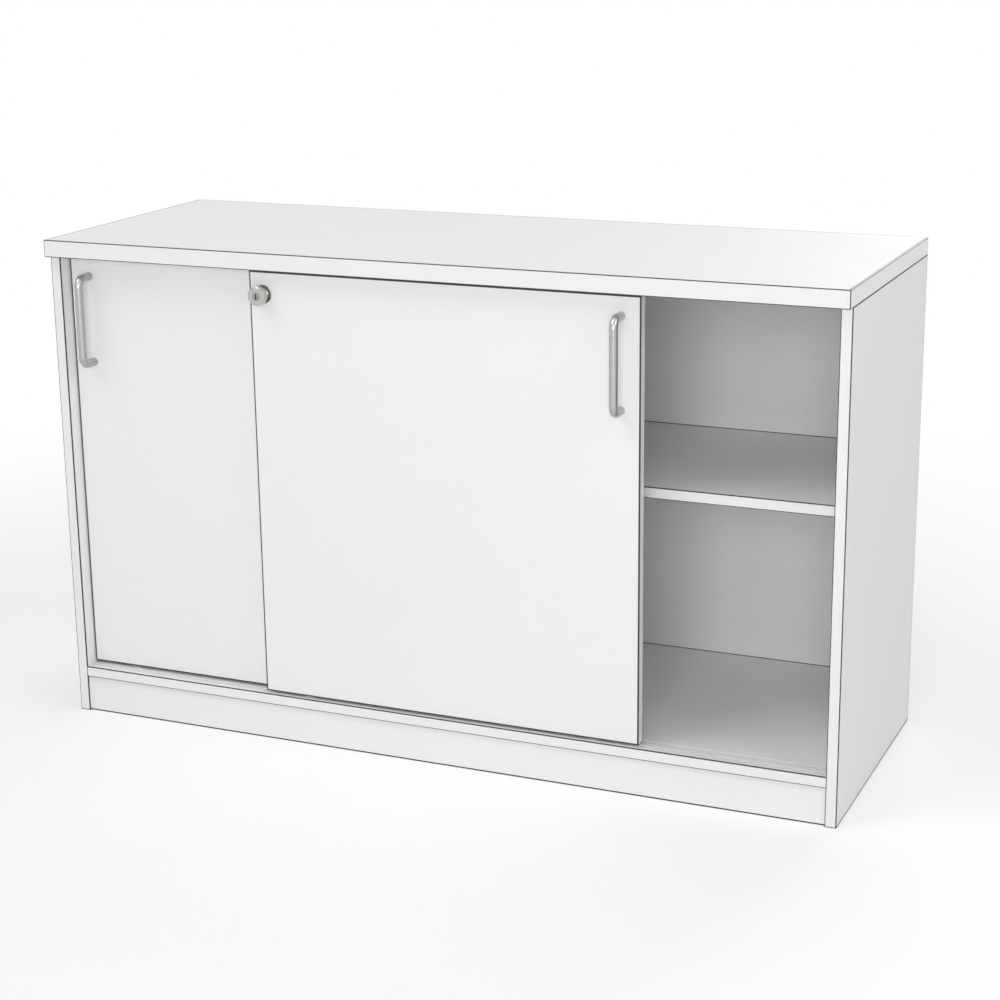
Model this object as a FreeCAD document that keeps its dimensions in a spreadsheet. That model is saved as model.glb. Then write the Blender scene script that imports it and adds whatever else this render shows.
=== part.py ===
import FreeCAD, Part
import os
import re

import Sketcher
from FreeCAD import Vector

# Office credenza: a low cabinet on a plinth with two by-pass sliding doors.
# X runs along the length, -Y is the front, Z is up, and the floor is at z = 0.
# The origin is below the middle of the whole object, handles included.

# ---------------------------------------------------------------------------
# Driving dimensions, in millimetres and degrees
# ---------------------------------------------------------------------------

DRIVING = (
    ("overall_width", 1200, "over the side panels"),
    ("overall_height", 736, "floor to worktop"),
    ("carcass_depth", 425, "side panels, front to back"),
    ("board", 16, "melamine board of the carcass and doors"),
    ("top_board", 25, "melamine board of the top"),
    ("top_overhang", 15, "top in front of the side panels"),
    ("thin_band", 1, "edge band of boards and doors"),
    ("thick_band", 2, "edge band of the top"),
    ("band_chamfer", 0.5, "broken arrises of the edge bands"),
    ("back_board", 3, "hardboard back"),
    ("back_inset", 8, "recess behind the back"),
    ("back_tongue", 6, "how far the back enters its grooves"),
    ("plinth_height", 56, "floor to the bottom panel"),
    ("plinth_setback", 4, "plinth behind the side panels' front"),
    ("divider_setback", 44, "divider behind the side panels' front"),
    ("shelf_top", 432, "height of the shelves"),
    ("shelf_setback", 63, "shelves behind the side panels' front"),
    ("door_width", 587, "each door"),
    ("door_setback", 5.5, "front door behind the side panels' front"),
    ("door_pitch", 18, "from one door's plane to the other's"),
    ("door_side_gap", 1, "closed door to side panel"),
    ("door_gap_below", 3, "door above the bottom panel"),
    ("door_gap_above", 4, "room for lifting a door out"),
    ("door_travel", 267, "each door, from end to end"),
    ("handle_centres", 128, "between a handle's two screws"),
    ("handle_wire", 12, "diameter of the handle"),
    ("handle_standoff", 29, "door face to the grip's axis"),
    ("handle_bend", 12, "radius of the handle's bends"),
    ("handle_middle", 615, "height of the handles' middle"),
    ("front_handle_inset", 28, "handle to the front door's right edge"),
    ("rear_handle_inset", 32, "handle to the rear door's left edge"),
    ("track_wall", 1.2, "wall of the twin tracks"),
    ("track_channel", 7, "inside width of a track channel"),
    ("track_flange", 2.3, "track flange beyond the channel's wall"),
    ("lower_track_depth", 5, "of the track let into the bottom panel"),
    ("upper_track_depth", 11.7, "of the track let into the top"),
    ("roller_diameter", 20, "door roller"),
    ("roller_width", 5, "door roller"),
    ("roller_rise", 3.5, "roller axis above the door's lower edge"),
    ("axle_diameter", 3, "roller's pivots"),
    ("axle_play", 0.05, "radial play of a pivot in its notch"),
    ("pivot_length", 2, "roller's pivot, on each side of it"),
    ("roller_room", 1.5, "round the roller in its housing"),
    ("roller_side_room", 0.5, "at each side of the roller"),
    ("fitting_inset", 70, "middle of a door fitting to the door's end"),
    ("fitting_length", 42, "door fitting let into the door's edge"),
    ("fitting_width", 10, "door fitting let into the door's edge"),
    ("roller_housing_height", 24, "roller housing"),
    ("guide_depth", 20, "top guide, in the door"),
    ("guide_tongue", 10, "top guide, above the door"),
    ("guide_width", 6, "top guide's tongue"),
    ("guide_length", 36, "top guide's tongue"),
    ("stop_length", 16, "door stop in the upper track"),
    ("stop_play", 0.4, "door stop to the guide's tongue"),
    ("tongue", 5, "thickness of the loose tongues in the carcass's joints"),
    ("tongue_length", 40, "loose tongue, along its joint"),
    ("tongue_width", 20, "loose tongue, across its joint"),
    ("tongue_front", 100, "front row of tongues, from the side panels' front"),
    ("tongue_rear", 340, "rear row of tongues, from the side panels' front"),
    ("tongue_shift", 3, "a tongue's middle, from its joint into the board's end"),
    ("lock_inset", 21, "lock's axis to the front door's left edge"),
    ("lock_height", 674, "lock's axis above the floor"),
    ("lock_flange", 14, "radius"),
    ("lock_flange_thickness", 2.2, "on the door's face"),
    ("lock_sleeve", 11, "outer radius of the lock's sleeve"),
    ("lock_sleeve_depth", 12, "sleeve behind the door's face"),
    ("lock_head", 13.5, "radius of the push button"),
    ("lock_front", 20, "push button's face before the door's face"),
    ("lock_head_length", 8.5, "push button"),
    ("lock_head_chamfer", 1, "push button's rim"),
    ("lock_stem", 9.5, "radius of the barrel in the sleeve"),
    ("stem_end_room", 0.5, "sleeve beyond the pushed barrel's end"),
    ("plug_end_room", 0.1, "between the key plug and its seat"),
    ("bolt_room", 1, "round the bolt in the door's board"),
    ("lock_play", 0.06, "radial play of the sliding parts"),
    ("lock_travel", 9, "push of the barrel"),
    ("plug_radius", 6, "key plug"),
    ("plug_length", 10, "key plug"),
    ("plug_proud", 0.2, "key plug before the push button's face"),
    ("key_depth", 8, "keyhole"),
    ("key_slot", 0.9, "half the width of the keyhole's slot"),
    ("key_top", 4, "top of the keyhole above the lock's axis"),
    ("key_drop", 2.3, "middle of the keyhole's round part below the axis"),
    ("key_round", 1.7, "radius of the keyhole's round part"),
    ("bolt_radius", 3, "lock bolt"),
    ("bolt_recess", 8.5, "lock bolt's tip behind the door's face"),
)

# What follows from them, as formulas in the same sheet
DERIVED = (
    ("half_width", "overall_width / 2", "to a side panel's outer face"),
    ("inner_half", "half_width - board", "to a side panel's inner face"),
    ("inner_width", "2 * inner_half", "between the side panels"),
    ("side_height", "overall_height - top_board", "side panels"),
    ("handle_reach", "handle_standoff + handle_wire / 2 - door_setback", "past the carcass"),
    ("front_y", "(handle_reach - carcass_depth) / 2", "side panels' front edges"),
    ("back_y", "front_y + carcass_depth", "side panels' back edges"),
    ("back_panel_y", "back_y - back_inset - back_board", "back panel's front face"),
    ("bottom_top", "plinth_height + board", "upper face of the bottom panel"),
    ("door_low", "bottom_top + door_gap_below", "doors' lower edge"),
    ("door_high", "side_height - door_gap_above", "doors' upper edge"),
    ("door_height", "door_high - door_low", "each door"),
    ("front_door_y", "front_y + door_setback", "front door's face"),
    ("rear_door_y", "front_door_y + door_pitch", "rear door's face"),
    ("front_door_x", "inner_half - door_side_gap - door_width - door_travel", "left edge"),
    ("rear_door_x", "door_side_gap - inner_half", "left edge"),
    ("track_y", "front_door_y + (board + door_pitch) / 2", "middle of the twin tracks"),
    ("shelf_low", "shelf_top - board", "underside of the shelves"),
    ("shelf_length", "inner_half - board / 2", "each shelf"),
    ("rear_plinth_y", "back_panel_y - board", "rear plinth board's front face"),
    ("lock_x", "front_door_x + lock_inset", "lock's axis"),
)

doc = FreeCAD.newDocument("credenza")
sheet = doc.addObject("Spreadsheet::Sheet", "sizes")
for row, (alias, content, note) in enumerate(DRIVING + DERIVED, start=1):
    is_formula = row > len(DRIVING)
    sheet.set("A%d" % row, alias)
    sheet.set("B%d" % row, "=" + content if is_formula else str(content))
    sheet.set("C%d" % row, note)
    sheet.setAlias("B%d" % row, alias)
doc.recompute()


def cell(formula):
    """The formula with each of its names made a reference into the sheet."""
    return re.sub(r"[a-z][a-z_]*", lambda name: "sizes." + name.group(), str(formula))


def value(formula):
    """What a formula of the sheet's names comes to, in millimetres."""
    return float(sheet.evalExpression(cell(formula)))


# ---------------------------------------------------------------------------
# Sketches and features, all bound to the sheet
# ---------------------------------------------------------------------------


def place(piece, corner):
    """Puts a piece's own origin at three formulas."""
    for axis, formula in zip("xyz", corner):
        piece.setExpression("Placement.Base." + axis, cell(formula))


def new_body(label, corner):
    body = doc.addObject("PartDesign::Body", label)
    place(body, corner)
    return body


def new_sketch(body, plane, offset="0"):
    """A sketch on one of the body's own planes; XZ planes face -Y."""
    sketch = body.newObject("Sketcher::SketchObject", body.Label + "_sketch")
    for feature in body.Origin.OriginFeatures:
        if feature.Role == plane + "_Plane":
            sketch.AttachmentSupport = [(feature, "")]
    sketch.MapMode = "FlatFace"
    sketch.setExpression("AttachmentOffset.Base.z", cell(offset))
    return sketch


def dimension(sketch, kind, formula, *where):
    """A driven constraint whose value is a formula."""
    number = sketch.addConstraint(Sketcher.Constraint(kind, *where, value(formula)))
    sketch.setExpression("Constraints[%d]" % number, cell(formula))


def pin_point(sketch, curve, end, x, y):
    dimension(sketch, "DistanceX", x, -1, 1, curve, end)
    dimension(sketch, "DistanceY", y, -1, 1, curve, end)


def outline(sketch, corners):
    """A closed polygon through (x, y) formulas."""
    points = [Vector(value(x), value(y), 0) for x, y in corners]
    first = sketch.GeometryCount
    for number, point in enumerate(points):
        sketch.addGeometry(Part.LineSegment(point, points[(number + 1) % len(points)]))
    for number, (x, y) in enumerate(corners):
        line = first + number
        following = first + (number + 1) % len(corners)
        sketch.addConstraint(Sketcher.Constraint("Coincident", line, 2, following, 1))
        pin_point(sketch, line, 1, x, y)


def rectangle(sketch, x_low, x_high, y_low, y_high):
    corners = ((x_low, y_low), (x_high, y_low), (x_high, y_high), (x_low, y_high))
    outline(sketch, corners)


def circle(sketch, x, y, radius):
    middle = Vector(value(x), value(y), 0)
    curve = sketch.addGeometry(Part.Circle(middle, Vector(0, 0, 1), value(radius)))
    pin_point(sketch, curve, 3, x, y)
    dimension(sketch, "Radius", radius, curve)


def pad(body, sketch, length, backwards=False):
    feature = body.newObject("PartDesign::Pad", body.Label + "_pad")
    feature.Profile = sketch
    feature.setExpression("Length", cell(length))
    feature.Reversed = backwards
    return feature


def pocket(body, sketch, depth, backwards=False):
    """Cuts against the sketch's normal, or along it if backwards; it has to remove something."""
    doc.recompute()
    before = body.Shape.Volume
    feature = body.newObject("PartDesign::Pocket", body.Label + "_pocket")
    feature.Profile = sketch
    feature.setExpression("Length", cell(depth))
    feature.Reversed = backwards
    doc.recompute()
    if body.Shape.Volume > before - 0.01:
        raise ValueError("%s cuts nothing" % feature.Label)
    return feature


def turn(body, sketch):
    """A full revolution about the sketch's own vertical axis."""
    feature = body.newObject("PartDesign::Revolution", body.Label + "_turn")
    feature.Profile = sketch
    feature.ReferenceAxis = (sketch, ["V_Axis"])
    feature.Angle = 360
    return feature


def edges_of(shape, wanted):
    """Names of the edges for which wanted(edge) is true."""
    return ["Edge%d" % n for n, edge in enumerate(shape.Edges, start=1) if wanted(edge)]


def break_edges(body, size, wanted):
    doc.recompute()
    base = body.Tip
    feature = body.newObject("PartDesign::Chamfer", body.Label + "_chamfer")
    feature.Base = (base, edges_of(base.Shape, wanted))
    feature.setExpression("Size", cell(size))
    return feature


def along(direction):
    """True for straight edges that run along a direction."""

    def wanted(edge):
        if edge.Curve.TypeId != "Part::GeomLine":
            return False
        return abs(edge.tangentAt(edge.FirstParameter).dot(direction)) > 0.999

    return wanted


ALONG_X = along(Vector(1, 0, 0))
ALONG_Y = along(Vector(0, 1, 0))
ALONG_Z = along(Vector(0, 0, 1))

SUB_PARTS = []


def keep(piece):
    """Makes an object a sub-part of the credenza; its label is the name of its file."""
    SUB_PARTS.append(piece)
    return piece


def group(label, master, places):
    """Identical pieces as one object: copies of a master at several places."""
    copies = []
    for number, corner in enumerate(places):
        copy = doc.addObject("App::Link", "%s_%d" % (label, number + 1))
        copy.LinkedObject = master
        place(copy, corner)
        copies.append(copy)
    compound = doc.addObject("Part::Compound", label)
    compound.Links = copies
    return keep(compound)


def fitted(label, blank, hardware):
    """A board with the room for the hardware that enters it."""
    cut = doc.addObject("Part::Cut", label)
    cut.Base = blank
    cut.Tool = hardware
    return keep(cut)


def lying(label, corner, length, depth, thickness):
    """A flat board: length centred on the body's origin, depth going back from its front."""
    body = new_body(label, corner)
    sketch = new_sketch(body, "XY")
    rectangle(sketch, "-(%s) / 2" % length, "(%s) / 2" % length, "0", depth)
    pad(body, sketch, thickness)
    return body


def standing(label, corner, depth, height):
    """An upright board across the length, from its left face towards the right."""
    body = new_body(label, corner)
    sketch = new_sketch(body, "YZ")
    rectangle(sketch, "0", depth, "0", height)
    pad(body, sketch, "board")
    return body


def facing(label, corner, length, height, thickness):
    """An upright board along the length, from its front face towards the back."""
    body = new_body(label, corner)
    sketch = new_sketch(body, "XZ")
    rectangle(sketch, "0", length, "0", height)
    pad(body, sketch, thickness, backwards=True)
    return body


def band_upright(label, corner, height):
    """Edge band on the front of an upright board, its outer arrises broken."""
    body = new_body(label, corner)
    sketch = new_sketch(body, "XY")
    rectangle(sketch, "0", "board", "0", "thin_band")
    pad(body, sketch, height)
    break_edges(body, "band_chamfer", lambda edge: ALONG_Z(edge) and edge.BoundBox.YMax < 0.1)
    return keep(body)


def band_level(label, corner, length):
    """Edge band on the front of a flat board, its outer arrises broken."""
    body = new_body(label, corner)
    sketch = new_sketch(body, "YZ", "-(%s) / 2" % length)
    rectangle(sketch, "0", "thin_band", "0", "board")
    pad(body, sketch, length)
    break_edges(body, "band_chamfer", lambda edge: ALONG_X(edge) and edge.BoundBox.YMax < 0.1)
    return keep(body)


# ---------------------------------------------------------------------------
# Loose tongues: flat keys of hard wood, glued into mortises across each joint
# ---------------------------------------------------------------------------

UPRIGHT = ("tongue", "tongue_length", "tongue_width")
LEVEL = ("tongue_width", "tongue_length", "tongue")
ENDWISE = ("tongue_width", "tongue", "tongue_length")
TONGUES = []


def loose_tongue(extents, middle):
    """One tongue: its extents along x, y and z, and the place of its middle."""
    box = doc.addObject("Part::Box", "tongue_%d" % (len(TONGUES) + 1))
    for side, extent in zip(("Length", "Width", "Height"), extents):
        box.setExpression(side, cell(extent))
    place(box, ["%s - %s / 2" % pair for pair in zip(middle, extents)])
    TONGUES.append(box)


OUTER_X = ("board / 2 - half_width", "half_width - board / 2")
INNER_X = ("tongue_shift - inner_half", "inner_half - tongue_shift")
DIVIDER_X = ("-board / 2 - tongue_shift", "board / 2 + tongue_shift")
for joint_y in ("front_y + tongue_front", "front_y + tongue_rear"):
    for side_x, end_x, side_of_divider in zip(OUTER_X, INNER_X, DIVIDER_X):
        loose_tongue(UPRIGHT, (side_x, joint_y, "side_height - tongue_shift"))
        loose_tongue(LEVEL, (end_x, joint_y, "plinth_height + board / 2"))
        for face_x in (end_x, side_of_divider):
            loose_tongue(LEVEL, (face_x, joint_y, "shelf_low + board / 2"))
    loose_tongue(UPRIGHT, ("0", joint_y, "side_height - tongue_shift"))
    loose_tongue(UPRIGHT, ("0", joint_y, "bottom_top + tongue_shift"))
for plinth_y in ("front_y + plinth_setback", "rear_plinth_y"):
    for end_x in INNER_X:
        loose_tongue(ENDWISE, (end_x, plinth_y + " + board / 2", "plinth_height / 2"))
loose_tongues = doc.addObject("Part::Compound", "loose_tongues")
loose_tongues.Links = TONGUES
keep(loose_tongues)

# ---------------------------------------------------------------------------
# Top, with the grooves for the upper track and the back
# ---------------------------------------------------------------------------

CHANNEL_HALF = "(track_channel / 2 + track_wall)"
TRACK_HALF = "(door_pitch / 2 + track_channel / 2 + track_wall + track_flange)"


def let_in_track(body, plane_height, front, depth, upwards):
    """Two grooves for the channels of a twin track, and the rebate for its flanges."""
    middle = "track_y - (%s)" % front
    rebate = new_sketch(body, "XY", plane_height)
    ends = ("-inner_half", "inner_half")
    rectangle(rebate, *ends, "%s - %s" % (middle, TRACK_HALF), "%s + %s" % (middle, TRACK_HALF))
    pocket(body, rebate, "track_wall", backwards=upwards)
    grooves = new_sketch(body, "XY", plane_height)
    for sign in "-+":
        axis = "%s %s door_pitch / 2" % (middle, sign)
        low = "%s - %s" % (axis, CHANNEL_HALF)
        high = "%s + %s" % (axis, CHANNEL_HALF)
        rectangle(grooves, *ends, low, high)
    pocket(body, grooves, depth, backwards=upwards)


def back_groove(body, plane_height, front, reach, upwards):
    """The groove across a flat board that the back stands in."""
    sketch = new_sketch(body, "XY", plane_height)
    low = "back_panel_y - (%s)" % front
    rectangle(sketch, "-" + reach, reach, low, low + " + back_board")
    pocket(body, sketch, "back_tongue", backwards=upwards)


TOP_FRONT = "front_y - top_overhang + thick_band"
TOP_DEPTH = "carcass_depth + top_overhang - 2 * thick_band"
top_corner = ("0", TOP_FRONT, "side_height")
top_blank = lying(
    "top_blank", top_corner, "overall_width - 2 * thick_band", TOP_DEPTH, "top_board"
)
let_in_track(top_blank, "0", TOP_FRONT, "upper_track_depth", upwards=True)
back_groove(top_blank, "0", TOP_FRONT, "(inner_half + back_tongue)", upwards=True)
fitted("top_panel", top_blank, loose_tongues)


def top_edging():
    """Edge band around all four edges of the top, its outer arrises broken."""
    body = new_body("top_panel_edging", top_corner)
    sketch = new_sketch(body, "XY")
    rectangle(sketch, "-half_width", "half_width", "-thick_band", TOP_DEPTH + " + thick_band")
    core = "(half_width - thick_band)"
    rectangle(sketch, "-" + core, core, "0", TOP_DEPTH)
    pad(body, sketch, "top_board")
    x_outer = value("half_width") - 0.1
    y_front = value("-thick_band") + 0.1
    y_back = value(TOP_DEPTH + " + thick_band") - 0.1

    def outer(edge):
        box = edge.BoundBox
        at_end = min(abs(box.XMin), abs(box.XMax)) > x_outer and box.XLength < 1
        return at_end or box.YMax < y_front or box.YMin > y_back

    break_edges(body, "band_chamfer", outer)
    return keep(body)


top_edging()

# ---------------------------------------------------------------------------
# Side panels and centre divider
# ---------------------------------------------------------------------------

SIDE_FRONT = "front_y + thin_band"


def side_panel(name, outer_face, inner_face, backwards):
    corner = (outer_face, SIDE_FRONT, "0")
    body = standing(name + "_side_blank", corner, "carcass_depth - thin_band", "side_height")
    groove = new_sketch(body, "YZ", inner_face)
    low = "back_panel_y - (%s)" % SIDE_FRONT
    rectangle(groove, low, low + " + back_board", "bottom_top - back_tongue", "side_height")
    pocket(body, groove, "back_tongue", backwards)
    fitted(name + "_side_panel", body, loose_tongues)
    band_upright(name + "_side_edging", (outer_face, "front_y", "0"), "side_height")


side_panel("left", "-half_width", "board", backwards=False)
side_panel("right", "inner_half", "0", backwards=True)

DIVIDER_FRONT = "front_y + divider_setback + thin_band"
divider_corner = ("-board / 2", DIVIDER_FRONT, "bottom_top")
divider_blank = standing(
    "divider_blank",
    divider_corner,
    "back_panel_y - (%s)" % DIVIDER_FRONT,
    "side_height - bottom_top",
)
fitted("centre_divider", divider_blank, loose_tongues)
band_upright(
    "divider_edging",
    ("-board / 2", "front_y + divider_setback", "bottom_top"),
    "side_height - bottom_top",
)

# ---------------------------------------------------------------------------
# Bottom panel, plinth and back
# ---------------------------------------------------------------------------

bottom_blank = lying(
    "bottom_blank",
    ("0", SIDE_FRONT, "plinth_height"),
    "inner_width",
    "carcass_depth - thin_band",
    "board",
)
let_in_track(bottom_blank, "board", SIDE_FRONT, "lower_track_depth", upwards=False)
back_groove(bottom_blank, "board", SIDE_FRONT, "inner_half", upwards=False)
fitted("bottom_panel", bottom_blank, loose_tongues)
band_level("bottom_panel_edging", ("0", "front_y", "plinth_height"), "inner_width")

PLINTHS = (("plinth", "front_y + plinth_setback"), ("rear_plinth", "rear_plinth_y"))
for name, board_y in PLINTHS:
    corner = ("-inner_half", board_y, "0")
    plinth_blank = facing(name + "_blank", corner, "inner_width", "plinth_height", "board")
    fitted(name + "_board", plinth_blank, loose_tongues)

back_panel = facing(
    "back_panel",
    ("-inner_half - back_tongue", "back_panel_y", "bottom_top - back_tongue"),
    "inner_width + 2 * back_tongue",
    "side_height - bottom_top + 2 * back_tongue",
    "back_board",
)
keep(back_panel)

# ---------------------------------------------------------------------------
# Shelves, between a side panel and the divider
# ---------------------------------------------------------------------------

SHELF_FRONT = "front_y + shelf_setback + thin_band"
for name, sign in (("left", "-"), ("right", "")):
    middle = sign + "(inner_half + board / 2) / 2"
    shelf_blank = lying(
        name + "_shelf_blank",
        (middle, SHELF_FRONT, "shelf_low"),
        "shelf_length",
        "back_panel_y - (%s)" % SHELF_FRONT,
        "board",
    )
    fitted(name + "_shelf", shelf_blank, loose_tongues)
    band_corner = (middle, "front_y + shelf_setback", "shelf_low")
    band_level(name + "_shelf_edging", band_corner, "shelf_length")

# ---------------------------------------------------------------------------
# Twin tracks and the stops that end the doors' travel
# ---------------------------------------------------------------------------


def twin_track(label, height, depth, sign):
    """Two channels side by side, joined by a strip, with a flange along each edge."""
    body = new_body(label, ("0", "track_y", height))
    sketch = new_sketch(body, "YZ", "-inner_half")
    near = "(door_pitch - track_channel) / 2"
    far = "(door_pitch + track_channel) / 2"
    floor = "%s(%s - track_wall)" % (sign, depth)
    wall = "%strack_wall" % sign
    full = "%s%s" % (sign, depth)
    half = (
        (near, "0"),
        (near, floor),
        (far, floor),
        (far, "0"),
        (TRACK_HALF, "0"),
        (TRACK_HALF, wall),
        (far + " + track_wall", wall),
        (far + " + track_wall", full),
        (near + " - track_wall", full),
        (near + " - track_wall", wall),
    )
    mirrored = [("-(%s)" % across, up) for across, up in reversed(half)]
    outline(sketch, list(half) + mirrored)
    pad(body, sketch, "inner_width")
    return keep(body)


twin_track("lower_track", "bottom_top", "lower_track_depth", "-")
twin_track("upper_track", "side_height", "upper_track_depth", "")

front_stop = doc.addObject("Part::Box", "front_stop")
rear_stop = doc.addObject("Part::Box", "rear_stop")
for stop in (front_stop, rear_stop):
    stop.setExpression("Length", cell("stop_length"))
    stop.setExpression("Width", cell("track_channel"))
    stop.setExpression("Height", cell("upper_track_depth - 2 * track_wall"))
stop_height = "side_height + track_wall"
first_guide_end = "front_door_x + fitting_inset - guide_length / 2"
last_guide_end = "rear_door_x + door_travel + door_width - fitting_inset + guide_length / 2"
front_stop_x = first_guide_end + " - stop_play - stop_length"
channel_y = "front_door_y + (board - track_channel) / 2"
place(front_stop, (front_stop_x, channel_y, stop_height))
place(rear_stop, (last_guide_end + " + stop_play", channel_y + " + door_pitch", stop_height))
stops = doc.addObject("Part::Compound", "track_stops")
stops.Links = [front_stop, rear_stop]
keep(stops)

# ---------------------------------------------------------------------------
# Door fittings: rollers below, guides above, handles
# ---------------------------------------------------------------------------


def fitting_block(body, offset, height):
    """The part of a fitting that stands in the door's edge."""
    section = new_sketch(body, "XY", offset)
    rectangle(
        section,
        "-fitting_length / 2",
        "fitting_length / 2",
        "-fitting_width / 2",
        "fitting_width / 2",
    )
    pad(body, section, height)


def roller_housing():
    """A housing let into the door's lower edge, open below, notched for the wheel's pivots."""
    body = new_body("roller_housing", ("0", "0", "0"))
    fitting_block(body, "0", "roller_housing_height")
    well = new_sketch(body, "XY")
    well_half = "(roller_diameter / 2 + roller_room)"
    side = "(roller_width / 2 + roller_side_room)"
    rectangle(well, "-" + well_half, well_half, "-" + side, side)
    pocket(body, well, "roller_rise + " + well_half, backwards=True)
    notch = new_sketch(body, "XZ", "fitting_width / 2")
    notch_half = "(axle_diameter / 2 + axle_play)"
    rectangle(notch, "-" + notch_half, notch_half, "0", "roller_rise + " + notch_half)
    pocket(body, notch, "fitting_width")
    return body


def roller(label, corner):
    """A wheel moulded with a pivot on each side."""
    body = new_body(label, corner)
    sketch = new_sketch(body, "XY")
    side = "roller_width / 2"
    pivot_end = "(roller_width / 2 + pivot_length)"
    corners = (
        ("0", "-" + pivot_end),
        ("axle_diameter / 2", "-" + pivot_end),
        ("axle_diameter / 2", "-" + side),
        ("roller_diameter / 2", "-" + side),
        ("roller_diameter / 2", side),
        ("axle_diameter / 2", side),
        ("axle_diameter / 2", pivot_end),
        ("0", pivot_end),
    )
    outline(sketch, corners)
    turn(body, sketch)
    return keep(body)


def top_guide():
    """A block let into the door's upper edge, with a tongue that runs in the track."""
    body = new_body("top_guide", ("0", "0", "0"))
    fitting_block(body, "-guide_depth", "guide_depth")
    tongue = new_sketch(body, "XY")
    half = ("guide_length / 2", "guide_width / 2")
    rectangle(tongue, "-" + half[0], half[0], "-" + half[1], half[1])
    pad(body, tongue, "guide_tongue")
    return body


FORWARD = Vector(0, -1, 0)
UP = Vector(0, 0, 1)


def handle(label, corner):
    """A round bar bent to a bow; its origin is on the door's face, between its ends."""
    x, face, middle = corner
    reach = "(handle_centres / 2 - handle_bend)"
    grip = doc.addObject("Part::Cylinder", label + "_grip")
    grip.setExpression("Height", cell("2 * " + reach))
    place(grip, (x, face + " - handle_standoff", "%s - %s" % (middle, reach)))
    bends = []
    legs = []
    for sign, first, last in (("+", UP, FORWARD), ("-", FORWARD, -UP)):
        bend = doc.addObject("Part::Torus", label + "_bend")
        bend.Angle3 = 90
        bend.setExpression("Radius1", cell("handle_bend"))
        bend.setExpression("Radius2", cell("handle_wire / 2"))
        bend.Placement.Rotation = FreeCAD.Rotation(first, last, first.cross(last), "XYZ")
        height = "%s %s %s" % (middle, sign, reach)
        place(bend, (x, face + " - handle_standoff + handle_bend", height))
        bends.append(bend)
        leg = doc.addObject("Part::Cylinder", label + "_leg")
        leg.setExpression("Height", cell("handle_standoff - handle_bend"))
        leg.Placement.Rotation = FreeCAD.Rotation(UP, FORWARD)
        place(leg, (x, face, "%s %s handle_centres / 2" % (middle, sign)))
        legs.append(leg)
    for run in [grip] + legs:
        run.setExpression("Radius", cell("handle_wire / 2"))
    bow = doc.addObject("Part::MultiFuse", label)
    bow.Shapes = [grip] + bends + legs
    return keep(bow)


HOUSING = roller_housing()
GUIDE = top_guide()

# ---------------------------------------------------------------------------
# Doors
# ---------------------------------------------------------------------------

FITTINGS = ("fitting_inset", "door_width - fitting_inset")


def across_fittings(sketch, start, middle):
    """A rectangle for each of the two fittings in an edge of a door."""
    for across in FITTINGS:
        low = "%s - %s - fitting_length / 2" % (across, start)
        high = "%s - %s + fitting_length / 2" % (across, start)
        rectangle(sketch, low, high, middle + " - fitting_width / 2", middle + " + fitting_width / 2")


def door_panel(name, left, face):
    """A door's board, with mortises for its fittings."""
    corner = (left + " + thin_band", face, "door_low + thin_band")
    width = "door_width - 2 * thin_band"
    height = "door_height - 2 * thin_band"
    body = facing(name, corner, width, height, "board")
    for depth, edge, upwards in (
        ("roller_housing_height - thin_band", "0", True),
        ("guide_depth - thin_band", height, False),
    ):
        mortises = new_sketch(body, "XY", edge)
        across_fittings(mortises, "thin_band", "board / 2")
        pocket(body, mortises, depth, backwards=upwards)
    return keep(body)


def door_edging(name, left, face):
    """Edge band around a door, cut through where the fittings are let in."""
    body = new_body(name + "_edging", (left, face, "door_low"))
    ring = new_sketch(body, "XZ")
    rectangle(ring, "0", "door_width", "0", "door_height")
    inner_x = ("thin_band", "door_width - thin_band")
    rectangle(ring, *inner_x, "thin_band", "door_height - thin_band")
    pad(body, ring, "board", backwards=True)
    reach_x = value("door_width") - 0.1
    reach_z = value("door_height") - 0.1

    def outer(edge):
        box = edge.BoundBox
        across = box.XMax < 0.1 or box.XMin > reach_x
        upright = box.ZMax < 0.1 or box.ZMin > reach_z
        return (across or upright) and not ALONG_Y(edge)

    break_edges(body, "band_chamfer", outer)
    for edge, upwards in (("0", True), ("door_height", False)):
        gaps = new_sketch(body, "XY", edge)
        across_fittings(gaps, "0", "board / 2")
        pocket(body, gaps, "thin_band", backwards=upwards)
    return keep(body)


def door_fittings(name, left, face, handle_x):
    """What every door carries: edge band, handle, rollers in housings, and top guides."""
    door_edging(name, left, face)
    grip_x = "%s + %s" % (left, handle_x)
    handle(name + "_handle", (grip_x, face, "handle_middle"))
    middle = face + " + board / 2"
    xs = ["%s + %s" % (left, across) for across in FITTINGS]
    group(name + "_roller_housings", HOUSING, [(x, middle, "door_low") for x in xs])
    group(name + "_top_guides", GUIDE, [(x, middle, "door_high") for x in xs])
    for side, x in zip(("left", "right"), xs):
        roller("%s_roller_%s" % (name, side), (x, middle, "door_low + roller_rise"))


door_panel("rear_door_panel", "rear_door_x", "rear_door_y")
door_fittings("rear_door", "rear_door_x", "rear_door_y", "rear_handle_inset")

front_panel = door_panel("front_door_panel", "front_door_x", "front_door_y")
front_handle_x = "door_width - front_handle_inset"
door_fittings("front_door", "front_door_x", "front_door_y", front_handle_x)

# ---------------------------------------------------------------------------
# Push lock of the front door, about an axis along Y through the door's face
# ---------------------------------------------------------------------------

LOCK_CORNER = ("lock_x", "front_door_y", "lock_height")
BARREL_END = "(lock_sleeve_depth - lock_travel - stem_end_room)"
PLUG_SEAT = "(plug_length - lock_front)"


def lock_body(label, corners):
    """A turned lock piece from its half section: radius, then distance behind the face."""
    body = new_body(label, LOCK_CORNER)
    sketch = new_sketch(body, "XY")
    outline(sketch, corners)
    turn(body, sketch)
    return body


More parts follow.
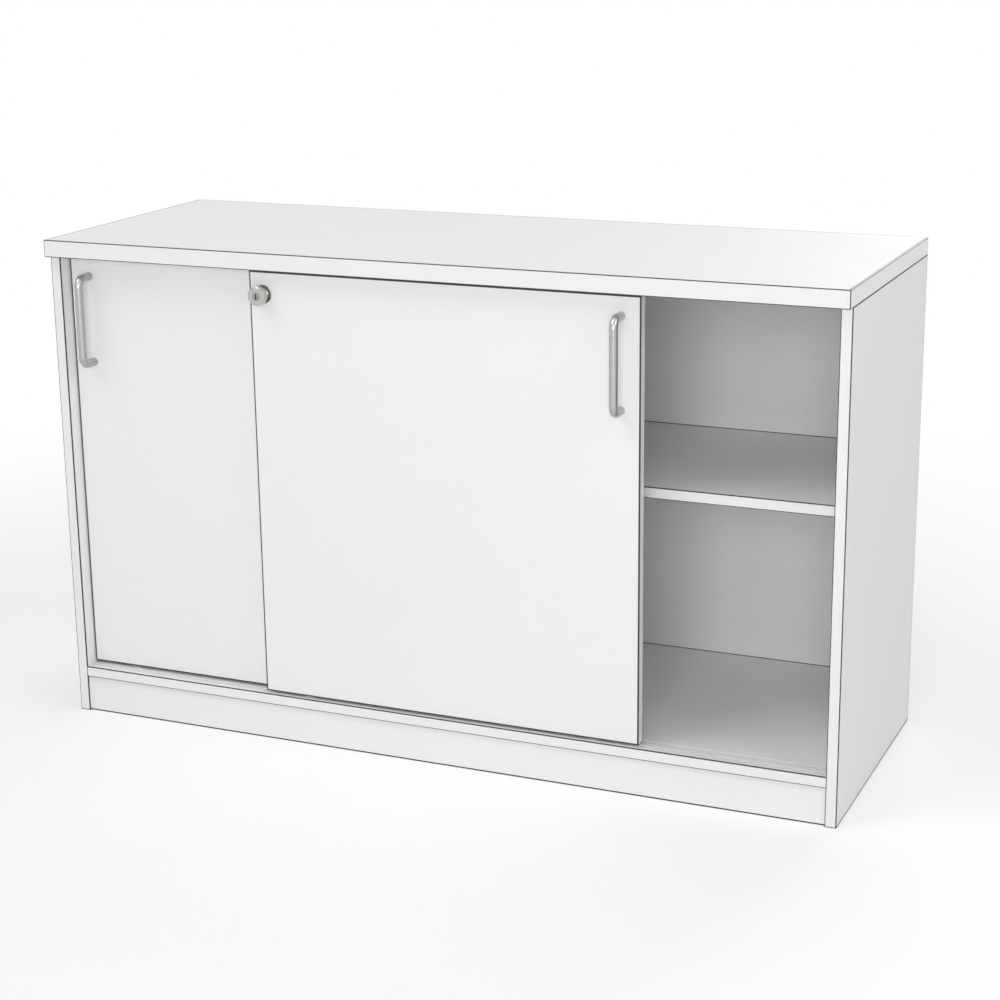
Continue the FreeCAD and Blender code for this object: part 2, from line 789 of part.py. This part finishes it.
lock_housing = lock_body(
    "lock_housing",
    (
        ("lock_stem + lock_play", "-lock_flange_thickness"),
        ("lock_flange", "-lock_flange_thickness"),
        ("lock_flange", "0"),
        ("lock_sleeve", "0"),
        ("lock_sleeve", "lock_sleeve_depth"),
        ("lock_stem + lock_play", "lock_sleeve_depth"),
    ),
)
keep(lock_housing)

barrel = lock_body(
    "lock_barrel",
    (
        ("plug_radius + lock_play", "-lock_front"),
        ("lock_head - lock_head_chamfer", "-lock_front"),
        ("lock_head", "lock_head_chamfer - lock_front"),
        ("lock_head", "lock_head_length - lock_front"),
        ("lock_stem", "lock_head_length - lock_front"),
        ("lock_stem", BARREL_END),
        ("bolt_radius", BARREL_END),
        ("bolt_radius", "bolt_recess"),
        ("0", "bolt_recess"),
        ("0", PLUG_SEAT),
        ("plug_radius + lock_play", PLUG_SEAT),
    ),
)
keep(barrel)

PLUG_FACE = "-lock_front - plug_proud"
plug = lock_body(
    "lock_plug",
    (
        ("0", PLUG_FACE),
        ("plug_radius", PLUG_FACE),
        ("plug_radius", PLUG_SEAT + " - plug_end_room"),
        ("0", PLUG_SEAT + " - plug_end_room"),
    ),
)
blade = new_sketch(plug, "XZ", "lock_front + plug_proud")
rectangle(blade, "-key_slot", "key_slot", "-key_drop", "key_top")
pocket(plug, blade, "key_depth")
round_end = new_sketch(plug, "XZ", "lock_front + plug_proud")
circle(round_end, "0", "-key_drop", "key_round")
pocket(plug, round_end, "key_depth")
keep(plug)

LOCK_HOLES = (("lock_sleeve", "lock_sleeve_depth"), ("bolt_radius + bolt_room", "board"))
for radius, depth in LOCK_HOLES:
    hole = new_sketch(front_panel, "XZ")
    circle(hole, "lock_inset - thin_band", "lock_height - door_low - thin_band", radius)
    pocket(front_panel, hole, depth)

# ---------------------------------------------------------------------------
# Every object has to be sound before anything is written
# ---------------------------------------------------------------------------

doc.recompute()
for piece in doc.Objects:
    if "Invalid" in piece.State or "Error" in piece.State:
        raise ValueError("%s did not compute: %s" % (piece.Label, piece.State))
os.makedirs("parts", exist_ok=True)
for piece in SUB_PARTS:
    if piece.Shape.isNull() or not piece.Shape.isValid():
        raise ValueError("%s has no valid shape" % piece.Label)
for piece in SUB_PARTS:
    piece.Shape.exportStep("parts/%s.step" % piece.Label)
print("%d sub-parts written" % len(SUB_PARTS))
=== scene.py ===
import math

import bmesh
import bpy
from mathutils import Matrix, Vector


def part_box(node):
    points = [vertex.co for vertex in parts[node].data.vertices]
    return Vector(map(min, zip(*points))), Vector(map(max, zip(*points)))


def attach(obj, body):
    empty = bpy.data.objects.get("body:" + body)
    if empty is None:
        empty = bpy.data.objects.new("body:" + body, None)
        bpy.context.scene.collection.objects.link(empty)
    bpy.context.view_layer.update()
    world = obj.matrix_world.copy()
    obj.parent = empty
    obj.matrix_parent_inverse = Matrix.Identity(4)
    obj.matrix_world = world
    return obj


# The cabinet as the joiner built it: every board and fitting at its real place, in metres,
# with the floor at z = 0, the doors towards -Y and the length along X.
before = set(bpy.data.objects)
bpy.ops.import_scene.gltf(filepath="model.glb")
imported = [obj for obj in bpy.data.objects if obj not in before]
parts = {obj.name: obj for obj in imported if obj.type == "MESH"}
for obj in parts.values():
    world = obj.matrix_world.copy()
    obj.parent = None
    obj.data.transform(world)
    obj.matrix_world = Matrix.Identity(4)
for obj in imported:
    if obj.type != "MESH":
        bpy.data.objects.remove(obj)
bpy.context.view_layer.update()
scene = bpy.context.scene
scene.view_settings.view_transform = "Standard"

# ---------------------------------------------------------------------------
# Camera. It stands off the cabinet's right end, a little above the worktop, and looks
# down at the doors.
# ---------------------------------------------------------------------------
camera_data = bpy.data.cameras.new("camera")
camera_data.sensor_width = 36
camera_data.lens = 77.91
camera = bpy.data.objects.new("camera", camera_data)
camera.location = (1.2511, -2.8323, 1.2302)
camera.rotation_euler = [math.radians(turn) for turn in (74.057, 0.655, 23.168)]
scene.collection.objects.link(camera)
scene.camera = camera

# ---------------------------------------------------------------------------
# Room. A pale, matt floor that runs off into a white room. Four soft boxes light it: a large
# one high on the left, one on the right, one in front that looks in at the doors, one behind.
# ---------------------------------------------------------------------------
PURE_WHITE = (1, 1, 1, 1)
DAYLIGHT = (0.97, 0.98, 1.0, 1)
DAYLIGHT_STRENGTH = 0.46
FLOOR_REACH = 30.0
FLOOR_TONES = (0.78, 0.81)
FLOOR_GLOW = 0.22
FADE_STARTS, FADE_ENDS = 0.9, 2.2
LAMPS_AIM = Vector((0, 0, 0.4))


def fill(tree, node, inputs):
    """Gives each input of a node its value, or joins it to another node's output."""
    for slot, given in inputs.items():
        if isinstance(given, bpy.types.NodeSocket):
            tree.links.new(given, node.inputs[slot])
        else:
            node.inputs[slot].default_value = given
    return node


def add(tree, kind, inputs, **options):
    """A new shader node of a kind, with its options set and its inputs filled."""
    made = tree.nodes.new("ShaderNode" + kind)
    for option, choice in options.items():
        setattr(made, option, choice)
    return fill(tree, made, inputs)


def reckon(tree, first, second, operation):
    """A number worked out from two others."""
    return add(tree, "Math", {0: first, 1: second}, operation=operation).outputs[0]


def between(tree, share, low, high):
    """A number that runs from low to high with a share of 0 to 1."""
    limits = {"Value": share, "To Min": low, "To Max": high}
    return add(tree, "MapRange", limits).outputs[0]


def place_on(tree):
    """The place on the piece itself, in metres."""
    return add(tree, "TexCoord", {}).outputs["Object"]


def mottling(tree, place, fineness, detail):
    """Soft patches from 0 to 1; a fineness for each of X, Y and Z draws them out."""
    if isinstance(fineness, tuple):
        place = add(tree, "Mapping", {"Vector": place, "Scale": fineness}).outputs[0]
        fineness = 1.0
    patches = {"Vector": place, "Scale": fineness, "Detail": detail}
    return add(tree, "TexNoise", patches).outputs["Fac"]


def seen_or_mirrored(tree):
    """1 for what is seen straight, in metal or through glass, and 0 on light's own paths."""
    path = add(tree, "LightPath", {}).outputs
    mirrored = reckon(tree, path["Is Glossy Ray"], path["Is Transmission Ray"], "MAXIMUM")
    return reckon(tree, path["Is Camera Ray"], mirrored, "MAXIMUM")


room = bpy.data.worlds.new("white_room")
room.use_nodes = True
scene.world = room
sky = room.node_tree
sky.nodes.clear()
lit = add(sky, "Background", {"Color": DAYLIGHT, "Strength": DAYLIGHT_STRENGTH}).outputs[0]
white = add(sky, "Background", {"Color": PURE_WHITE, "Strength": 1.0}).outputs[0]
either = add(sky, "MixShader", {0: seen_or_mirrored(sky), 1: lit, 2: white}).outputs[0]
add(sky, "OutputWorld", {"Surface": either})

floor_paint = bpy.data.materials.new("pale_floor")
floor_paint.use_nodes = True
tree = floor_paint.node_tree
tree.nodes.clear()
place = place_on(tree)
scuffs = mottling(tree, place, fineness=1.6, detail=4.0)
paint = add(tree, "BsdfDiffuse", {"Color": between(tree, scuffs, *FLOOR_TONES)}).outputs[0]
glow = add(tree, "Emission", {"Color": PURE_WHITE, "Strength": FLOOR_GLOW}).outputs[0]
lifted = add(tree, "AddShader", {0: paint, 1: glow}).outputs[0]
near = add(tree, "MixShader", {0: seen_or_mirrored(tree), 1: paint, 2: lifted}).outputs[0]
far = add(tree, "Emission", {"Color": PURE_WHITE, "Strength": 1.0}).outputs[0]
distance = add(tree, "VectorMath", {0: place}, operation="LENGTH").outputs["Value"]
fade = {"Value": distance, "From Min": FADE_STARTS, "From Max": FADE_ENDS}
faded = add(tree, "MapRange", fade, interpolation_type="SMOOTHSTEP").outputs[0]
white_out = reckon(tree, faded, seen_or_mirrored(tree), "MULTIPLY")
whole = add(tree, "MixShader", {0: white_out, 1: near, 2: far}).outputs[0]
add(tree, "OutputMaterial", {"Surface": whole})

floor_mesh = bpy.data.meshes.new("floor")
square = ((-1, -1), (1, -1), (1, 1), (-1, 1))
corners = [(x * FLOOR_REACH, y * FLOOR_REACH, 0) for x, y in square]
floor_mesh.from_pydata(corners, [], [(0, 1, 2, 3)])
floor_mesh.materials.append(floor_paint)
floor = bpy.data.objects.new("floor", floor_mesh)
scene.collection.objects.link(floor)


def soft_box(name, stands_at, size, power):
    """A square lamp that faces the middle of the cabinet."""
    lamp = bpy.data.lights.new(name, "AREA")
    lamp.size = size
    lamp.energy = power
    stand = bpy.data.objects.new(name, lamp)
    stand.location = stands_at
    aim = LAMPS_AIM - Vector(stands_at)
    stand.rotation_euler = aim.to_track_quat("-Z", "Y").to_euler()
    scene.collection.objects.link(stand)


soft_box("key_light", (-1.7, -2.0, 3.9), size=2.4, power=46)
soft_box("right_light", (3.0, -0.9, 2.7), size=2.2, power=25)
soft_box("front_light", (1.2, -3.8, 1.3), size=1.6, power=50)
soft_box("rear_light", (0.6, 3.8, 2.4), size=2.2, power=50)

# ---------------------------------------------------------------------------
# Boards of the body: chipboard faced with white melamine off a finely pearled plate, keyed
# with loose tongues and glued. A fine dark line of glue shows along each band, black wax
# seals the sawn edges that show at the back, and painted shade darkens the edges on the
# floor.
# ---------------------------------------------------------------------------
FINE_LINE = 0.0012
# the band of painted shade along an edge that stands on the floor is this high
FOOT_SHADE_WIDTH = 0.002
# near-black for the glue, wax and core lines, and for the painted shade along the floor and
# in the back's inside corners
LINE_AND_SHADE_COLOUR = (0.035, 0.035, 0.037, 1)
ROUNDED_UNDER = math.radians(28)
COLOUR_A, COLOUR_B, COLOUR_OUT = 6, 7, 2  # where a Mix node keeps its colours


def blend_colours(tree, share, first, second):
    """First colour where share is 0, second where it is 1."""
    colours = {0: share, COLOUR_A: first, COLOUR_B: second}
    return add(tree, "Mix", colours, data_type="RGBA").outputs[COLOUR_OUT]


def new_finish(name):
    """A finish by name, with its node tree and the place on the piece."""
    finish = bpy.data.materials.new(name)
    finish.use_nodes = True
    return finish, finish.node_tree, place_on(finish.node_tree)


def coat(finish, colour, relief, depth, roughness, metallic=0.0):
    """Lays a colour, a gloss and a relief from 0 to 1, of a depth in metres, on a finish."""
    tree = finish.node_tree
    bump = add(tree, "Bump", {"Height": relief, "Distance": depth}).outputs[0]
    looks = {
        "Base Color": colour,
        "Roughness": roughness,
        "Metallic": metallic,
        "Normal": bump,
    }
    fill(tree, tree.nodes["Principled BSDF"], looks)


def glue_line(*bands):
    """A fine line along each face that a band is glued to; a face is (axis, place)."""
    return bands, FINE_LINE, 1


def painted_floor_shade(floor_edge):
    """A band of painted shade along the edge that stands on the floor, where its contact
    shadow falls.
    """
    return (("Z", floor_edge),), FOOT_SHADE_WIDTH, 1


def corner_line(*faces):
    """A fine line wherever two of the faces meet."""
    return faces, FINE_LINE, 2


def dark_line(tree, place, colour, faces, width, meeting):
    """Turns a colour near-black where a point lies within a width of enough of the faces."""
    along = add(tree, "SeparateXYZ", {"Vector": place}).outputs
    met = 0.0
    for axis, at in faces:
        off = reckon(tree, reckon(tree, along[axis], at, "SUBTRACT"), 0.0, "ABSOLUTE")
        met = reckon(tree, reckon(tree, off, width, "LESS_THAN"), met, "ADD")
    on_line = reckon(tree, met, meeting - 0.5, "GREATER_THAN")
    return blend_colours(tree, on_line, colour, LINE_AND_SHADE_COLOUR)


def melamine(name, *lines):
    """White melamine, with the dark lines given for its edges; some of them are painted shade
    along the floor.
    """
    finish, tree, place = new_finish(name)
    clouds = mottling(tree, place, fineness=2.5, detail=3.0)
    face = blend_colours(tree, clouds, (0.845, 0.845, 0.835, 1), (0.875, 0.875, 0.868, 1))
    for line in lines:
        face = dark_line(tree, place, face, *line)
    pearl = mottling(tree, place, fineness=480.0, detail=3.0)
    handled = mottling(tree, place, fineness=7.0, detail=5.0)
    coat(finish, face, pearl, depth=0.00012, roughness=between(tree, handled, 0.46, 0.58))
    return finish


def both_ends(axis, low, high):
    """The two faces that end a piece along an axis."""
    number = "XYZ".index(axis)
    return ((axis, low[number]), (axis, high[number]))


def dress(name, finish):
    """Gives a part its finish, with round faces smooth and edges sharp."""
    mesh = parts[name].data
    mesh.materials.clear()
    mesh.materials.append(finish)
    mesh.shade_smooth()
    mesh.set_sharp_from_angle(angle=ROUNDED_UNDER)


low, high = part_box("top_panel")
round_the_top = glue_line(*both_ends("X", low, high), *both_ends("Y", low, high))
dress("top_panel", melamine("top_melamine", round_the_top))
for name in ("left_side_panel", "right_side_panel"):
    low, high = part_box(name)
    front_and_top = glue_line(("Y", low.y), ("Z", high.z))
    rear = corner_line(*both_ends("X", low, high), ("Y", high.y))
    # The foot line is painted shade where the panel meets the floor.
    dress(name, melamine(name + "_melamine", front_and_top, painted_floor_shade(low.z), rear))
for name in ("bottom_panel", "centre_divider", "left_shelf", "right_shelf"):
    front = glue_line(("Y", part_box(name)[0].y))
    dress(name, melamine(name + "_melamine", front))


# ---------------------------------------------------------------------------
# Edge bands of the body: white plastic over a dark core, 1 mm thick on the boards and 2 mm
# round the top. They are hot-glued on and trimmed, and the scraper that breaks their corners
# lays the core bare as a fine line.
# ---------------------------------------------------------------------------
def edge_band(name, direction, *faces):
    """White band streaked along a direction; its core shows where two of its faces meet."""
    finish, tree, place = new_finish(name)
    drawn_out = tuple(6.0 if axis == direction else 900.0 for axis in "XYZ")
    streaks = mottling(tree, place, drawn_out, detail=2.0)
    face = blend_colours(tree, streaks, (0.825, 0.825, 0.82, 1), (0.86, 0.86, 0.855, 1))
    face = dark_line(tree, place, face, *corner_line(*faces))
    coat(finish, face, streaks, depth=0.00003, roughness=0.36)
    return finish


def all_round(name):
    """The six outer faces of a band that runs round a board."""
    low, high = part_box(name)
    return [face for axis in "XYZ" for face in both_ends(axis, low, high)]


dress("top_panel_edging", edge_band("top_band", "X", *all_round("top_panel_edging")))
for name in ("left_side_edging", "right_side_edging", "divider_edging"):
    low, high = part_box(name)
    faces = (*both_ends("X", low, high), ("Y", low.y), ("Z", low.z))
    dress(name, edge_band(name + "_band", "Z", *faces))
for name in ("bottom_panel_edging", "left_shelf_edging", "right_shelf_edging"):
    low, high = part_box(name)
    faces = (*both_ends("Z", low, high), ("Y", low.y))
    dress(name, edge_band(name + "_band", "X", *faces))

# ---------------------------------------------------------------------------
# Plinth boards, front and rear: strips of the same white board, cut to fit between the side
# panels, set a little back from their front edges and keyed to them with loose tongues.
# ---------------------------------------------------------------------------
# Their feet get a band of painted shade where they meet the floor.
plinth_melamine = melamine("plinth_melamine", painted_floor_shade(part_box("plinth_board")[0].z))
for name in ("plinth_board", "rear_plinth_board"):
    dress(name, plinth_melamine)


# ---------------------------------------------------------------------------
# Loose tongues: flat keys of beech with their grain along them, glued into mortises across
# every joint of the body. Nothing of them shows once it is together.
# ---------------------------------------------------------------------------
def mottled(name, fineness, detail, dark, light, depth, roughness, metallic=0.0):
    """A finish whose colour, relief and any (low, high) roughness follow one mottling."""
    finish, tree, place = new_finish(name)
    share = mottling(tree, place, fineness, detail)
    if isinstance(roughness, tuple):
        roughness = between(tree, share, *roughness)
    colour = blend_colours(tree, share, dark, light)
    coat(finish, colour, share, depth, roughness, metallic)
    return finish


beech = mottled(
    "beech",
    fineness=(160.0, 14.0, 160.0),
    detail=6.0,
    dark=(0.62, 0.40, 0.23, 1),
    light=(0.80, 0.60, 0.40, 1),
    depth=0.0001,
    roughness=0.55,
)
dress("loose_tongues", beech)

# ---------------------------------------------------------------------------
# Back: a sheet of thin hardboard, lacquered white, slid into grooves in the body. Its face
# keeps a little of the wire screen that it was pressed on, and a fine line of painted shade
# runs inside where the right shelf and the bottom meet it.
# ---------------------------------------------------------------------------
WIRE_FINENESS = 190.0
lacquered_hardboard, tree, place = new_finish("lacquered_hardboard")
wire = {"Vector": place, "Scale": WIRE_FINENESS}
across = add(tree, "TexWave", wire, bands_direction="X").outputs["Fac"]
up = add(tree, "TexWave", wire, bands_direction="Z").outputs["Fac"]
screen = reckon(tree, across, up, "MULTIPLY")
fibres = mottling(tree, place, fineness=14.0, detail=6.0)
lacquer = blend_colours(tree, fibres, (0.80, 0.80, 0.785, 1), (0.85, 0.85, 0.84, 1))
# Painted shade: a fine dark line along the inside corners where the back meets the bottom and
# the right shelf.
shaded_corners = [("Z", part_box(board)[1].z) for board in ("bottom_panel", "right_shelf")]
shaded_corners.append(("Y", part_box("back_panel")[0].y))
lacquer = dark_line(tree, place, lacquer, *corner_line(*shaded_corners))
coat(lacquered_hardboard, lacquer, screen, depth=0.00005, roughness=0.5)
dress("back_panel", lacquered_hardboard)

# ---------------------------------------------------------------------------
# Twin tracks: white plastic extrusions pressed into the bottom and the top, flush with the
# board. The doors' wheels run in the lower one, and their guides in the upper one.
# ---------------------------------------------------------------------------
track_plastic = mottled(
    "track_plastic",
    fineness=(4.0, 1200.0, 1200.0),
    detail=1.0,
    dark=(0.80, 0.80, 0.795, 1),
    light=(0.85, 0.85, 0.845, 1),
    depth=0.00002,
    roughness=0.3,
)
for name in ("lower_track", "upper_track"):
    dress(name, track_plastic)

# ---------------------------------------------------------------------------
# Stops: two small blocks of black rubber in the upper track's channels. Each ends one door's
# travel.
# ---------------------------------------------------------------------------
stop_rubber = mottled(
    "stop_rubber",
    fineness=180.0,
    detail=4.0,
    dark=(0.018, 0.018, 0.018, 1),
    light=(0.05, 0.05, 0.05, 1),
    depth=0.0001,
    roughness=0.7,
)
dress("track_stops", stop_rubber)

# ---------------------------------------------------------------------------
# Doors: two boards of the same white melamine, banded all round. The front one slides in the
# outer channel and the rear one in the inner channel, so that they pass each other.
# ---------------------------------------------------------------------------
DOORS = ("front_door", "rear_door")
for door in DOORS:
    low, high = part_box(door + "_panel")
    round_the_edge = glue_line(*both_ends("X", low, high), *both_ends("Z", low, high))
    dress(door + "_panel", melamine(door + "_melamine", round_the_edge))
    dress(door + "_edging", edge_band(door + "_band", "Z", *all_round(door + "_edging")))

# ---------------------------------------------------------------------------
# Door fittings: moulded plastic wheel housings in the lower edges, and guides with a tongue
# in the upper edges. Light grey nylon, straight out of the mould.
# ---------------------------------------------------------------------------
moulded_nylon, tree, place = new_finish("moulded_nylon")
flow = mottling(tree, place, fineness=90.0, detail=3.0)
nylon_grey = blend_colours(tree, flow, (0.60, 0.60, 0.59, 1), (0.67, 0.67, 0.66, 1))
mould_skin = mottling(tree, place, fineness=1500.0, detail=1.0)
coat(moulded_nylon, nylon_grey, mould_skin, depth=0.00003, roughness=0.42)
for door in DOORS:
    dress(door + "_roller_housings", moulded_nylon)
    dress(door + "_top_guides", moulded_nylon)

# ---------------------------------------------------------------------------
# Wheels: hard white nylon, each moulded in one with its two pivots, which snap into the
# notches of the housing. The tread is polished by the track.
# ---------------------------------------------------------------------------
wheel_nylon = mottled(
    "wheel_nylon",
    fineness=260.0,
    detail=3.0,
    dark=(0.66, 0.65, 0.62, 1),
    light=(0.76, 0.75, 0.72, 1),
    depth=0.00003,
    roughness=0.3,
)
for door in DOORS:
    for side in ("left", "right"):
        dress("%s_roller_%s" % (door, side), wheel_nylon)

# ---------------------------------------------------------------------------
# Handles: round steel bar, 12 mm, bent to a bow, satin-nickelled after brushing round and
# round. Each is held by two screws through the door.
# ---------------------------------------------------------------------------
satin_nickel = mottled(
    "satin_nickel",
    fineness=(120.0, 120.0, 2600.0),
    detail=3.0,
    dark=(0.41, 0.405, 0.395, 1),
    light=(0.52, 0.515, 0.505, 1),
    depth=0.00002,
    roughness=(0.22, 0.36),
    metallic=1.0,
)
for door in DOORS:
    dress(door + "_handle", satin_nickel)

# ---------------------------------------------------------------------------
# Handle screws: zinc-plated steel, with low round heads and a cross recess, turned in from
# the back of the door. The heads stay inside the narrow gap between the two doors.
# ---------------------------------------------------------------------------
HEAD_RADIUS = 0.0042
HEAD_FLAT = 0.0025
HEAD_INNER_RING = 0.0012
HEAD_HEIGHT = 0.0014
HEAD_RIM = 0.0005
ROUNDING_STEPS = 5
CROSS = ((0.0019, 0.00045), (0.00045, 0.0019))
CROSS_DEPTH = 0.0009
HEAD_SIDES = 32
ON_THE_CUT = 0.0000001  # a point this near a cut counts as on it
TOP_ABOVE = 0.00005  # a head's top faces lie above this height
TOP_FACES_UP = 0.2  # and are at least this level
TURNED_ROUNDED_UNDER = math.radians(35)


def sink(shape, half_spans, depth):
    """Punches a recess into the top of a head; each half span is (along x, along y)."""
    for half in half_spans:
        for axis, reach in enumerate(half):
            for side in (-1, 1):
                away = Vector((0, 0, 0))
                away[axis] = side
                everything = [*shape.verts, *shape.edges, *shape.faces]
                cut = {"plane_co": away * reach, "plane_no": away, "dist": ON_THE_CUT}
                bmesh.ops.bisect_plane(shape, geom=everything, **cut)
    shape.normal_update()
    inside = []
    for face in shape.faces:
        middle = face.calc_center_median()
        on_top = middle.z > TOP_ABOVE and abs(face.normal.z) > TOP_FACES_UP
        if on_top and any(abs(middle.x) < x and abs(middle.y) < y for x, y in half_spans):
            inside.append(face)
    punched = bmesh.ops.extrude_face_region(shape, geom=inside)
    bmesh.ops.delete(shape, geom=inside, context="FACES")
    for vertex in punched["geom"]:
        if isinstance(vertex, bmesh.types.BMVert):
            vertex.co.z -= depth


def turned_head(name, outline, sides, recess, recess_depth):
    """A head turned from (radius, height) points on its own z axis, with a recess."""
    mesh = bpy.data.meshes.new(name)
    shape = bmesh.new()
    rings = []
    for radius, height in outline:
        if radius == 0:
            rings.append([shape.verts.new((0, 0, height))])
            continue
        ring = []
        for step in range(sides):
            angle = 2 * math.pi * step / sides
            spot = (radius * math.cos(angle), radius * math.sin(angle), height)
            ring.append(shape.verts.new(spot))
        rings.append(ring)
    for lower, upper in zip(rings, rings[1:]):
        for step in range(sides):
            after = (step + 1) % sides
            face = [lower[step % len(lower)], lower[after % len(lower)]]
            face += [upper[after % len(upper)], upper[step % len(upper)]]
            shape.faces.new(list(dict.fromkeys(face)))
    sink(shape, recess, recess_depth)
    bmesh.ops.recalc_face_normals(shape, faces=shape.faces)
    # The cuts come out in no fixed order, so the faces are put into one.
    shape.verts.index_update()
    faces = []
    for face in shape.faces:
        loop = [vertex.index for vertex in face.verts]
        first = loop.index(min(loop))
        faces.append(loop[first:] + loop[:first])
    mesh.from_pydata([vertex.co for vertex in shape.verts], [], sorted(faces))
    shape.free()
    mesh.shade_smooth()
    mesh.set_sharp_from_angle(angle=TURNED_ROUNDED_UNDER)
    return mesh


def set_in(name, head, spot, towards, body):
    """Stands a screw's head on a spot, pointing along a direction, on a moving body."""
    piece = bpy.data.objects.new(name, head)
    scene.collection.objects.link(piece)
    turn = Vector(towards).to_track_quat("Z", "Y").to_matrix().to_4x4()
    piece.matrix_world = Matrix.Translation(spot) @ turn
    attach(piece, body)


zinc_plate, tree, place = new_finish("zinc_plate")
crystals = add(tree, "TexVoronoi", {"Vector": place, "Scale": 900.0}).outputs["Distance"]
zinc = blend_colours(tree, crystals, (0.52, 0.53, 0.55, 1), (0.64, 0.65, 0.66, 1))
coat(zinc_plate, zinc, crystals, depth=0.00002, roughness=0.34, metallic=1.0)

head_profile = [(radius, HEAD_HEIGHT) for radius in (0, HEAD_INNER_RING, HEAD_FLAT)]
for step in range(1, ROUNDING_STEPS + 1):
    swing = math.pi / 2 * step / ROUNDING_STEPS
    radius = HEAD_FLAT + (HEAD_RADIUS - HEAD_FLAT) * math.sin(swing)
    head_profile.append((radius, HEAD_RIM + (HEAD_HEIGHT - HEAD_RIM) * math.cos(swing)))
head_profile += [(HEAD_RADIUS, 0.0), (0, 0.0)]
screw_head = turned_head("handle_screw_head", head_profile, HEAD_SIDES, CROSS, CROSS_DEPTH)
screw_head.materials.append(zinc_plate)
for door in DOORS:
    grip_low, grip_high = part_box(door + "_handle")
    panel_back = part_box(door + "_panel")[1].y
    middle_x = (grip_low.x + grip_high.x) / 2
    bar = grip_high.x - grip_low.x
    for end, height in (("upper", grip_high.z - bar / 2), ("lower", grip_low.z + bar / 2)):
        spot = (middle_x, panel_back, height)
        label = "%s_%s_handle_screw" % (door, end)
        set_in(label, screw_head, spot, (0, 1, 0), door)

# ---------------------------------------------------------------------------
# Lock: a nickel-plated push lock. A round rosette and sleeve in the front door's board, a
# push button with its stem and bolt in one, and a key plug in the button's face.
# ---------------------------------------------------------------------------
bright_nickel = mottled(
    "bright_nickel",
    fineness=320.0,
    detail=3.0,
    dark=(0.46, 0.45, 0.435, 1),
    light=(0.55, 0.54, 0.52, 1),
    depth=0.00001,
    roughness=(0.15, 0.28),
    metallic=1.0,
)
nickelled_plug = mottled(
    "nickelled_plug",
    fineness=(40.0, 40.0, 2200.0),
    detail=2.0,
    dark=(0.30, 0.29, 0.275, 1),
    light=(0.42, 0.41, 0.385, 1),
    depth=0.00001,
    roughness=0.3,
    metallic=1.0,
)
dress("lock_housing", bright_nickel)
dress("lock_barrel", bright_nickel)
dress("lock_plug", nickelled_plug)

# ---------------------------------------------------------------------------
# Lock screws: four small countersunk screws of blackened steel with one slot each, through
# the rosette into the door, two on each side of the button. They lie all but flush, so that
# the button can be pushed home over them.
# ---------------------------------------------------------------------------
SCREW_CIRCLE = 0.0118
SCREW_SPREAD = math.radians(24)
SCREW_RADIUS = 0.0015
SCREW_PROUD = 0.00022
SCREW_SUNK = -0.0005
SCREW_SIDES = 24
SLOT = ((0.002, 0.0003),)
SLOT_DEPTH = 0.00012

blackened_steel = mottled(
    "blackened_steel",
    fineness=1400.0,
    detail=3.0,
    dark=(0.02, 0.02, 0.022, 1),
    light=(0.06, 0.06, 0.065, 1),
    depth=0.00001,
    roughness=0.42,
    metallic=0.6,
)
flush_profile = [(0, SCREW_PROUD), (0.0009, 0.0002), (0.0014, 0.00014)]
flush_profile += [(SCREW_RADIUS, 0.00006), (SCREW_RADIUS, SCREW_SUNK), (0, SCREW_SUNK)]
small_head = turned_head("lock_screw_head", flush_profile, SCREW_SIDES, SLOT, SLOT_DEPTH)
small_head.materials.append(blackened_steel)
rosette_low, rosette_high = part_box("lock_housing")
centre = (rosette_low + rosette_high) / 2
for side, sign in (("right", 1), ("left", -1)):
    for level, rise in (("upper", 1), ("lower", -1)):
        out = sign * SCREW_CIRCLE * math.cos(SCREW_SPREAD)
        lift = rise * SCREW_CIRCLE * math.sin(SCREW_SPREAD)
        spot = (centre.x + out, rosette_low.y, centre.z + lift)
        label = "lock_screw_%s_%s" % (side, level)
        set_in(label, small_head, spot, (0, -1, 0), "front_door")
